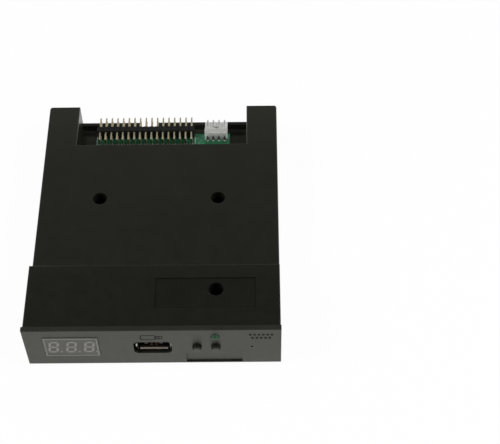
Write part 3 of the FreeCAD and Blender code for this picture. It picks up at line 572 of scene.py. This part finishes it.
def square_pin(bm, path):
    """A square wire along a path in a plane of constant X, with pointed ends."""
    half = pin_width * mm / 2
    across = Vector((1, 0, 0))
    last = len(path) - 1
    rings = []
    for i, point in enumerate(path):
        ahead = (path[min(i + 1, last)] - path[max(i - 1, 0)]).normalized()
        out = across.cross(ahead)
        size = half * (pin_tip_share if i in (0, last) else 1)
        rings.append([bm.verts.new(point + across * a * size + out * b * size)
                      for a, b in ((-1, -1), (1, -1), (1, 1), (-1, 1))])
    for low, high in zip(rings, rings[1:]):
        for i in range(4):
            bm.faces.new((low[i], low[(i + 1) % 4], high[(i + 1) % 4], high[i]))
    bm.faces.new(rings[0])
    bm.faces.new(rings[-1])


def cable_pins():
    """The 34 right-angle pins of the cable header."""
    bm = bmesh.new()
    for x in cable_columns:
        for row_z, leg_y in ((lower_row_z, lower_legs_y), (upper_row_z, upper_legs_y)):
            square_pin(bm, bent_path(x, leg_y, row_z, cable_tips_y))
    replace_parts(shown("header_pins", bm, "chassis", "pin_gold", smooth=30), "floppy_header_pins")


def power_pins():
    """The four right-angle pins of the power header."""
    bm = bmesh.new()
    for x in power_columns:
        square_pin(bm, bent_path(x, power_legs_y, power_row_z, power_tips_y))
    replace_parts(shown("power_pins", bm, "chassis", "pin_tin", smooth=30), "power_header_pins")


cable_pins()
power_pins()


# Housing of the power header

power_wall = 2.4
power_shelf = 2.4
shelf_setback = 0.55
recess_half = 0.62
recess_shoulder = 1.0
recess_top = 1.75
recess_depth = 1.2
window_half = 0.95
window_start = 4.3
window_end = 6.0
window_radius = 0.2
housing_edge = 0.12


def power_housing():
    """The moulded housing, with a recess round each leg and a window for the plug's catch."""
    low, high = corners("power_header")
    wall_y = low.y + power_wall
    shelf_z = low.z + power_shelf
    shelf_y = high.y - shelf_setback
    side = [(low.y, low.z), (low.y, high.z), (wall_y, high.z), (wall_y, shelf_z), (shelf_y, shelf_z),
            (shelf_y, low.z)]
    bm = bmesh.new()
    flat_shape(bm, side, low.x, high.x, "X")
    piece = shown("power_housing", bm, "chassis", "nylon_white", smooth=30)
    cuts = bmesh.new()
    floor_z = low.z - over
    shoulder_z = low.z + recess_shoulder
    top_z = low.z + recess_top
    for x in power_columns:
        x0, x1 = x - recess_half, x + recess_half
        arch = [(x0, floor_z), (x1, floor_z), (x1, shoulder_z), (x + recess_half / 2, top_z),
                (x - recess_half / 2, top_z), (x0, shoulder_z)]
        flat_shape(cuts, arch, low.y - over, low.y + recess_depth)
    window = rounded_outline(power_x - window_half, power_x + window_half, low.y + window_start,
                             low.y + window_end, window_radius)
    flat_shape(cuts, window, floor_z, high.z, "Z")
    carve(piece, cuts)
    soften(piece, housing_edge)
    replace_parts(piece, "power_header")


power_housing()


# Screws in the wells

well_x = 25.05
rear_well_y = 70.4
front_well_y = 20.3
screw_places = ((-well_x, rear_well_y), (well_x, rear_well_y), (well_x, front_well_y))
screw_seat = board_top + 1.8
screw_sides = 48
thread_root = 1.12
thread_crest = 1.4
thread_pitch = 0.7
thread_rise = 0.35
thread_start = -6.8
thread_turns = 9
slot_top = 2.3
slot_bottom = 0.7
slot_sizes_top = (2.9, 0.62)
slot_sizes_bottom = (1.5, 0.35)


def screw_slots(crosswise):
    """One slot of each screw's cross recess, narrower at the bottom."""
    cutter = bmesh.new()
    for x, y in screw_places:
        for vert in bmesh.ops.create_cube(cutter, size=1.0)["verts"]:
            deep = vert.co.z < 0
            length, width = slot_sizes_bottom if deep else slot_sizes_top
            along, across = vert.co.x * length, vert.co.y * width
            step_x, step_y = (across, along) if crosswise else (along, across)
            vert.co = at(x + step_x, y + step_y, screw_seat + (slot_bottom if deep else slot_top))
    return cutter


def case_screws():
    """Round-headed screws with a cross recess and a ringed shank."""
    profile = [(0, -8.0), (0.5, -7.9), (1.15, -6.9)]
    for i in range(thread_turns):
        root = thread_start + i * thread_pitch
        profile += [(thread_root, root), (thread_crest, root + thread_rise)]
    profile += [(thread_root, -0.5), (1.2, 0)]
    profile += [(2.6, 0), (2.6, 0.35), (2.45, 0.95), (2.0, 1.5), (1.2, 1.82), (0, 1.9)]
    bm = bmesh.new()
    for x, y in screw_places:
        lathe(bm, profile, at(x, y, screw_seat), (0, 0, 1), screw_sides)
    piece = shown("case_screws_detailed", bm, "chassis", "screw_black", smooth=35)
    for crosswise in (False, True):
        carve(piece, screw_slots(crosswise))
    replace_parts(piece, "case_screws")


case_screws()


# Curled guides at the top of the socket's mouth

guide_offset = 0.21
guide_reach = 2.97
guide_half = 0.75
guide_y = 0.9


def socket_guides():
    """Two short curls of the socket's roof that lead the plug in."""
    low, high = corners("usb_shell")
    middle_x = (low.x + high.x) / 2 + guide_offset
    y, z = guide_y, high.z
    curl = [(y + 0.3, z - 0.35), (y + 0.3, z), (y - 0.1, z), (y - 0.45, z + 0.08), (y - 0.75, z + 0.3),
            (y - 0.85, z + 0.22), (y - 0.6, z - 0.06), (y - 0.2, z - 0.28), (y, z - 0.35)]
    bm = bmesh.new()
    for x in (middle_x - guide_reach, middle_x + guide_reach):
        flat_shape(bm, curl, x - guide_half, x + guide_half, "X")
    shown("socket_guides", bm, "chassis", "guide_steel")


socket_guides()


# Raised edge round the display's face

edge_outer_inset = 0.04
edge_inner_inset = 0.8
edge_outer_corner = 0.25
edge_inner_corner = 0.2
edge_height = 0.08
edge_slope = 0.05


def display_rim():
    """The thin raised edge round the display's face."""
    low, high = corners("display_body")
    sides = (low.x, high.x, low.z, high.z)
    outer = inset_outline(sides, edge_outer_inset, edge_outer_corner)
    inner = inset_outline(sides, edge_inner_inset, edge_inner_corner)
    bm = bmesh.new()
    frame_shape(bm, outer, inner, low.y, low.y - edge_height, slope=edge_slope)
    shown("display_rim", bm, "chassis", "display_edge", 20)


display_rim()


# Pad in the label recess

pad_sides = (1.0, 40.6, 11.8, 25.2)
pad_corner = 0.8
pad_bottom = 23.2
pad_thickness = 0.08
pad_hole_radius = 3.3


def label_pad():
    """The bare matt pad in the label recess, with a hole for the screw well."""
    bm = bmesh.new()
    flat_shape(bm, rounded_outline(*pad_sides, pad_corner), pad_bottom, pad_bottom + pad_thickness, "Z")
    piece = shown("label_pad", bm, "chassis", "pad_black", 30)
    hole = bmesh.new()
    plug = [(0, -over), (pad_hole_radius, -over), (pad_hole_radius, over), (0, over)]
    lathe(hole, plug, at(well_x, front_well_y, pad_bottom), (0, 0, 1))
    carve(piece, hole)


label_pad()


# Circuit board

joint_sides = 20
via_sides = 16
via_bore = 0.16
via_height = 0.03
via_slope = 0.02
track_via = 0.36
corner_via = 0.4
track_width = 0.28
track_height = 0.02
lower_joint = 0.6
upper_joint = 0.9
power_joint = 0.55
solder_spot_y = 108.3
track_start_y = 105.6
track_bend_y = 104.4
track_jog = 0.9
track_end_y = 101.9
track_end_step = 1.1
corner_vias = ((15.4, 109.9), (16.6, 108.2), (17.3, 110.6), (15.9, 106.9), (28.9, 104.6), (29.0, 109.4))
outline_sides = (-29.75, 14.35, 105.3, 110.6)
outline_corner = 0.2
outline_line = 0.22
outline_height = 0.015


def solder_joints():
    """The pads and solder round the legs of the header pins, and spots before the power header's legs."""
    joints = []
    for x in cable_columns:
        joints += [(x, upper_legs_y, upper_joint), (x, lower_legs_y, lower_joint)]
    joints += [(x, power_legs_y, power_joint) for x in power_columns]
    cone = [(0.46, 0.2), (0.38, 0.42), (0, 0.43)]
    spot = [(0, 0), (0.5, 0), (0.46, 0.08), (0.3, 0.17), (0, 0.2)]
    bm = bmesh.new()
    for x, y, size in joints:
        pad = [(0, 0), (size, 0), (size - 0.02, 0.05), (size * 0.8, 0.06)]
        lathe(bm, pad + cone, at(x, y, board_top), (0, 0, 1), joint_sides)
    for x in power_columns:
        lathe(bm, spot, at(x, solder_spot_y, board_top), (0, 0, 1), joint_sides)
    shown("solder_joints", bm, "chassis", "solder", 60)


def track(bm, points):
    """A flat track along (x, y) points on the board's top."""
    half = track_width / 2
    left, right = [], []
    for i, (x, y) in enumerate(points):
        before_x, before_y = points[max(i - 1, 0)]
        after_x, after_y = points[min(i + 1, len(points) - 1)]
        length = math.hypot(after_x - before_x, after_y - before_y)
        step_x = -(after_y - before_y) / length * half
        step_y = (after_x - before_x) / length * half
        left.append((x + step_x, y + step_y))
        right.append((x - step_x, y - step_y))
    flat_shape(bm, left + right[::-1], board_top, board_top + track_height, "Z")


def via(bm, x, y, radius):
    """A tinned ring on the board's top."""
    ring = [(via_bore, 0), (via_bore, via_height), (radius, via_height), (radius + via_slope, 0)]
    lathe(bm, ring, at(x, y, board_top), (0, 0, 1), via_sides)


def board_tracks():
    """Tracks from the cable header towards the chips, tracks in the bare corner, and their vias."""
    tracks = bmesh.new()
    vias = bmesh.new()
    for i, x in enumerate(cable_columns):
        end_x = x + (track_jog if i % 2 else -track_jog)
        end_y = track_end_y - (i % 3) * track_end_step
        track(tracks, [(x, track_start_y), (x, track_bend_y), (end_x, track_bend_y - track_jog),
                       (end_x, end_y)])
        via(vias, end_x, end_y, track_via)
    for x, y in corner_vias:
        via(vias, x, y, corner_via)
        track(tracks, [(x, y), (x, y - 2.2), (x - 1.0, y - 3.2), (x - 1.0, y - 4.4)])
    shown("board_tracks", tracks, "chassis", "trace_green", 30)
    shown("board_vias", vias, "chassis", "solder", 30)


def board_outline():
    """The white outline printed round the cable header."""
    outer = rounded_outline(*outline_sides, outline_corner)
    inner = inset_outline(outline_sides, outline_line, outline_corner / 2)
    bm = bmesh.new()
    frame_shape(bm, outer, inner, board_top, board_top + outline_height, "Z")
    shown("board_outlines", bm, "chassis", "silkscreen", 30)


solder_joints()
board_tracks()
board_outline()


# Printed marks of the bezel

print_thickness = 0.02
print_line = 0.42
least_corner = 0.05
stick_parts = ((-4.6, 1.5, 18.2, 21.8, 0.9), (1.5, 4.2, 18.9, 21.1, 0.45))
stick_bars = ((2.2, 3.2, 20.2, 20.6), (2.2, 3.2, 19.4, 19.8))
bar_corner = 0.15
dot_rows = (6, 5)
dot_x = 38.6
dot_pitch = 1.7
dot_half = 0.55
dot_bottom = 20.9
dot_height = 1.5
dot_row_step = 2.4
dot_corner = 0.5


def printed_marks():
    """A memory stick above the socket, and a plain pattern of dots at the right."""
    bm = bmesh.new()
    for *sides, corner in stick_parts:
        inner = inset_outline(sides, print_line, corner - print_line + least_corner)
        frame_shape(bm, rounded_outline(*sides, corner), inner, 0, -print_thickness)
    marks = [(sides, bar_corner) for sides in stick_bars]
    for row, count in enumerate(dot_rows):
        z = dot_bottom - row * dot_row_step
        for i in range(count):
            x = dot_x + (i + row / 2) * dot_pitch
            marks.append(((x - dot_half, x + dot_half, z, z + dot_height), dot_corner))
    for sides, corner in marks:
        flat_shape(bm, rounded_outline(*sides, corner), -print_thickness, 0)
    shown("bezel_print", bm, "chassis", "print_dark")


printed_marks()


# Softened edges of the moulded pieces, by width, steps and least angle

soft_edges = {
    "upper_shell": (0.35, 3, 60),
    "lower_shell": (0.45, 3, 60),
    "floppy_header_block": (0.12, 2, 35),
    "display_body": (0.08, 2, 35),
}
for name, edge in soft_edges.items():
    soften(nodes[name], *edge)


# Floor, world and lamps, in metres

floor_reach = 12.0
floor_drop = 0.0002
floor_dark = (0.93, 0.93, 0.93)
floor_light = (0.95, 0.95, 0.95)
floor_glow = 0.96
before_stops = ((0.0, 1.0), (0.12, 1.0), (0.26, 0.12), (0.5, 0.03), (1.0, 0.02))
behind_stops = ((0.0, 1.0), (0.15, 1.0), (0.28, 0.12), (0.6, 0.12), (0.64, 0.5), (0.75, 0.5), (0.78, 0.05),
                (0.85, 0.02))
sky_blend = 0.35
lamp_places = {"soft_left": (-0.8, -0.15, 0.75), "soft_right": (0.8, -0.15, 0.75)}
lamp_size = 0.5
lamp_power = 7.5


def make_floor():
    """A white floor that keeps a faint shadow."""
    reach = floor_reach
    mesh = bpy.data.meshes.new("floor")
    mesh.from_pydata([(-reach, -reach, 0), (reach, -reach, 0), (reach, reach, 0), (-reach, reach, 0)], [],
                     [(0, 1, 2, 3)])
    floor = bpy.data.objects.new("floor", mesh)
    floor.location.z = -floor_drop
    scene.collection.objects.link(floor)
    material, tree, shader, place = new_material("floor_white")
    shader.inputs["Roughness"].default_value = 0.9
    shader.inputs["Specular IOR Level"].default_value = 0.0
    cloud = noise(tree, place, 3.0)
    tree.links.new(ramp(tree, cloud, ((0.3, floor_dark), (0.7, floor_light))), shader.inputs["Base Color"])
    path = tree.nodes.new("ShaderNodeLightPath")
    rays = [path.outputs[kind] for kind in ("Is Camera Ray", "Is Glossy Ray", "Is Transmission Ray")]
    share = tree.nodes.new("ShaderNodeMath")
    share.operation = "MULTIPLY"
    share.inputs[1].default_value = floor_glow
    tree.links.new(combined(tree, "MAXIMUM", rays), share.inputs[0])
    glow = tree.nodes.new("ShaderNodeEmission")
    mix = tree.nodes.new("ShaderNodeMixShader")
    tree.links.new(share.outputs[0], mix.inputs["Fac"])
    tree.links.new(shader.outputs["BSDF"], mix.inputs[1])
    tree.links.new(glow.outputs["Emission"], mix.inputs[2])
    tree.links.new(mix.outputs["Shader"], tree.nodes["Material Output"].inputs["Surface"])
    mesh.materials.append(material)


def make_world():
    """A studio that is white at the horizon and behind the object, and dark overhead and in front."""
    world = bpy.data.worlds.new("studio")
    world.use_nodes = True
    tree = world.node_tree
    place = tree.nodes.new("ShaderNodeTexCoord").outputs["Generated"]
    apart = tree.nodes.new("ShaderNodeSeparateXYZ")
    tree.links.new(place, apart.inputs["Vector"])
    before, behind = [ramp(tree, apart.outputs["Z"], [(z, (v, v, v)) for z, v in stops])
                      for stops in (before_stops, behind_stops)]
    share = ranged(tree, apart.outputs["Y"], 0, 1, -sky_blend, sky_blend)
    tree.links.new(mixed(tree, share, before, behind), tree.nodes["Background"].inputs["Color"])
    scene.world = world


def area_lamp(name, place):
    """A square soft lamp that points at the object."""
    data = bpy.data.lights.new(name, "AREA")
    data.size = lamp_size
    data.energy = lamp_power
    lamp = bpy.data.objects.new(name, data)
    lamp.location = place
    lamp.rotation_euler = (-Vector(place)).to_track_quat("-Z", "Y").to_euler()
    scene.collection.objects.link(lamp)


make_floor()
make_world()
for name, place in lamp_places.items():
    area_lamp(name, place)

scene.view_settings.view_transform = "Standard"
